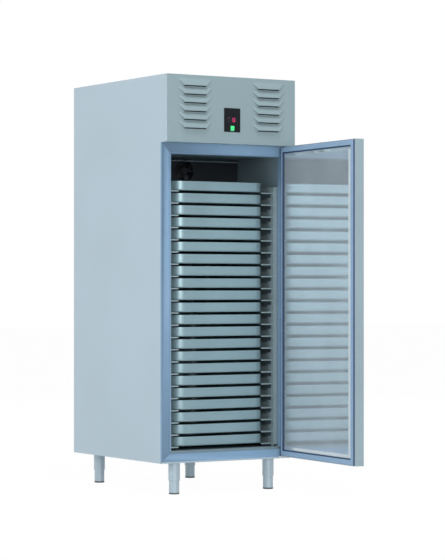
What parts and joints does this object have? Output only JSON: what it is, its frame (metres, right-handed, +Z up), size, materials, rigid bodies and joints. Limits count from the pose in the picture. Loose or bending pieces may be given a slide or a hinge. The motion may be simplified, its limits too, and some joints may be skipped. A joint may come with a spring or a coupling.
{
  "type": "blast chiller",
  "caption": "Upright stainless blast chiller with louvred machine housing, one hinged insulated door, deep trays on toothed racks and adjustable legs.",
  "frame": {"origin": "on the floor, at the centre of the cabinet's footprint, without the open door", "axes": "+Z up, -Y out of the front where the mouth is, +X to the right as seen by someone in front"},
  "size_m": [0.744, 1.6527, 2.05],
  "materials": {
    "outer_steel": "brushed",
    "liner_steel": "brushed",
    "tray_steel": "brushed",
    "rack_steel": "brushed",
    "door_steel": "brushed",
    "leg_steel": "satin",
    "hinge_steel": "satin",
    "unit_steel": "satin",
    "frame_plastic": "satin",
    "gasket_rubber": "matte",
    "foam": "matte",
    "bush_plastic": "matte",
    "control_black": "gloss",
    "display_black": "gloss",
    "switch_black": "matte",
    "rocker_green": "gloss",
    "compressor_paint": "satin",
    "motor_paint": "satin",
    "shroud_paint": "satin",
    "coil_metal": "satin",
    "blade_metal": "satin",
    "copper_pipe": "satin",
    "box_plastic": "matte"
  },
  "bodies": {
    "cabinet": {"side_panel_left": "outer_steel", "side_panel_right": "outer_steel", "rear_panel": "unit_steel", "machine_deck": "unit_steel", "base_panel": "outer_steel", "wall_insulation": "foam", "inner_liner": "liner_steel", "door_frame": "frame_plastic", "fascia_panel": "outer_steel", "control_plate": "control_black", "thermostat": "display_black", "switch_housing": "switch_black", "unit_base": "unit_steel", "compressor": "compressor_paint", "condenser_coil": "coil_metal", "condenser_shroud": "shroud_paint", "condenser_fan_motor": "motor_paint", "evaporator_coil": "coil_metal", "evaporator_housing": "liner_steel", "evaporator_fan_motor": "motor_paint", "refrigerant_lines": "copper_pipe", "electrical_box": "box_plastic", "rack_posts": "rack_steel", "tray_slides": "rack_steel", "hinge_brackets": "hinge_steel", "leg_sleeves": "leg_steel"},
    "door": {"door_outer_skin": "door_steel", "door_insulation": "foam", "door_liner": "door_steel", "door_gasket": "gasket_rubber", "door_bushes": "bush_plastic"},
    "condenser_fan": {"condenser_fan_blades": "blade_metal"},
    "evaporator_fan": {"evaporator_fan_blades": "blade_metal"},
    "switch_rocker": {"rocker_switch": "rocker_green"},
    "foot_front_left": {"foot_front_left": "leg_steel"},
    "foot_front_right": {"foot_front_right": "leg_steel"},
    "foot_rear_left": {"foot_rear_left": "leg_steel"},
    "foot_rear_right": {"foot_rear_right": "leg_steel"},
    "tray_01": {"tray_01": "tray_steel"},
    "tray_02": {"tray_02": "tray_steel"},
    "tray_03": {"tray_03": "tray_steel"},
    "tray_04": {"tray_04": "tray_steel"},
    "tray_05": {"tray_05": "tray_steel"},
    "tray_06": {"tray_06": "tray_steel"},
    "tray_07": {"tray_07": "tray_steel"},
    "tray_08": {"tray_08": "tray_steel"},
    "tray_09": {"tray_09": "tray_steel"},
    "tray_10": {"tray_10": "tray_steel"},
    "tray_11": {"tray_11": "tray_steel"},
    "tray_12": {"tray_12": "tray_steel"},
    "tray_13": {"tray_13": "tray_steel"},
    "tray_14": {"tray_14": "tray_steel"},
    "tray_15": {"tray_15": "tray_steel"},
    "tray_16": {"tray_16": "tray_steel"},
    "tray_17": {"tray_17": "tray_steel"},
    "tray_18": {"tray_18": "tray_steel"},
    "tray_19": {"tray_19": "tray_steel"},
    "tray_20": {"tray_20": "tray_steel"},
    "tray_21": {"tray_21": "tray_steel"},
    "tray_22": {"tray_22": "tray_steel"}
  },
  "joints": [
    {"name": "door_hinge", "type": "hinge", "parent": "cabinet", "child": "door", "pos_m": [0.34, -0.4685, 0.9415], "axis": [0, 0, 1], "range_deg": [-85.5, 24.5]},
    {"name": "rocker_tilt", "type": "hinge", "parent": "cabinet", "child": "switch_rocker", "pos_m": [0, -0.4765, 1.7965], "axis": [1, 0, 0], "range_deg": [-16, 0]},
    {"name": "condenser_fan_spin", "type": "hinge", "parent": "cabinet", "child": "condenser_fan", "pos_m": [0, -0.123, 1.8465], "axis": [0, 1, 0], "continuous": true},
    {"name": "evaporator_fan_spin", "type": "hinge", "parent": "cabinet", "child": "evaporator_fan", "pos_m": [0, -0.0028, 1.607], "axis": [0, 1, 0], "continuous": true},
    {"name": "foot_front_left_height", "type": "slide", "parent": "cabinet", "child": "foot_front_left", "axis": [0, 0, -1], "range_m": [-0.02, 0.04]},
    {"name": "foot_front_right_height", "type": "slide", "parent": "cabinet", "child": "foot_front_right", "axis": [0, 0, -1], "range_m": [-0.02, 0.04]},
    {"name": "foot_rear_left_height", "type": "slide", "parent": "cabinet", "child": "foot_rear_left", "axis": [0, 0, -1], "range_m": [-0.02, 0.04]},
    {"name": "foot_rear_right_height", "type": "slide", "parent": "cabinet", "child": "foot_rear_right", "axis": [0, 0, -1], "range_m": [-0.02, 0.04]},
    {"name": "tray_01_slide", "type": "slide", "parent": "cabinet", "child": "tray_01", "axis": [0, -1, 0], "range_m": [0, 0.45]},
    {"name": "tray_02_slide", "type": "slide", "parent": "cabinet", "child": "tray_02", "axis": [0, -1, 0], "range_m": [0, 0.45]},
    {"name": "tray_03_slide", "type": "slide", "parent": "cabinet", "child": "tray_03", "axis": [0, -1, 0], "range_m": [0, 0.45]},
    {"name": "tray_04_slide", "type": "slide", "parent": "cabinet", "child": "tray_04", "axis": [0, -1, 0], "range_m": [0, 0.45]},
    {"name": "tray_05_slide", "type": "slide", "parent": "cabinet", "child": "tray_05", "axis": [0, -1, 0], "range_m": [0, 0.45]},
    {"name": "tray_06_slide", "type": "slide", "parent": "cabinet", "child": "tray_06", "axis": [0, -1, 0], "range_m": [0, 0.45]},
    {"name": "tray_07_slide", "type": "slide", "parent": "cabinet", "child": "tray_07", "axis": [0, -1, 0], "range_m": [0, 0.45]},
    {"name": "tray_08_slide", "type": "slide", "parent": "cabinet", "child": "tray_08", "axis": [0, -1, 0], "range_m": [0, 0.45]},
    {"name": "tray_09_slide", "type": "slide", "parent": "cabinet", "child": "tray_09", "axis": [0, -1, 0], "range_m": [0, 0.45]},
    {"name": "tray_10_slide", "type": "slide", "parent": "cabinet", "child": "tray_10", "axis": [0, -1, 0], "range_m": [0, 0.45]},
    {"name": "tray_11_slide", "type": "slide", "parent": "cabinet", "child": "tray_11", "axis": [0, -1, 0], "range_m": [0, 0.45]},
    {"name": "tray_12_slide", "type": "slide", "parent": "cabinet", "child": "tray_12", "axis": [0, -1, 0], "range_m": [0, 0.45]},
    {"name": "tray_13_slide", "type": "slide", "parent": "cabinet", "child": "tray_13", "axis": [0, -1, 0], "range_m": [0, 0.45]},
    {"name": "tray_14_slide", "type": "slide", "parent": "cabinet", "child": "tray_14", "axis": [0, -1, 0], "range_m": [0, 0.45]},
    {"name": "tray_15_slide", "type": "slide", "parent": "cabinet", "child": "tray_15", "axis": [0, -1, 0], "range_m": [0, 0.45]},
    {"name": "tray_16_slide", "type": "slide", "parent": "cabinet", "child": "tray_16", "axis": [0, -1, 0], "range_m": [0, 0.45]},
    {"name": "tray_17_slide", "type": "slide", "parent": "cabinet", "child": "tray_17", "axis": [0, -1, 0], "range_m": [0, 0.45]},
    {"name": "tray_18_slide", "type": "slide", "parent": "cabinet", "child": "tray_18", "axis": [0, -1, 0], "range_m": [0, 0.45]},
    {"name": "tray_19_slide", "type": "slide", "parent": "cabinet", "child": "tray_19", "axis": [0, -1, 0], "range_m": [0, 0.45]},
    {"name": "tray_20_slide", "type": "slide", "parent": "cabinet", "child": "tray_20", "axis": [0, -1, 0], "range_m": [0, 0.45]},
    {"name": "tray_21_slide", "type": "slide", "parent": "cabinet", "child": "tray_21", "axis": [0, -1, 0], "range_m": [0, 0.45]},
    {"name": "tray_22_slide", "type": "slide", "parent": "cabinet", "child": "tray_22", "axis": [0, -1, 0], "range_m": [0, 0.45]}
  ]
}
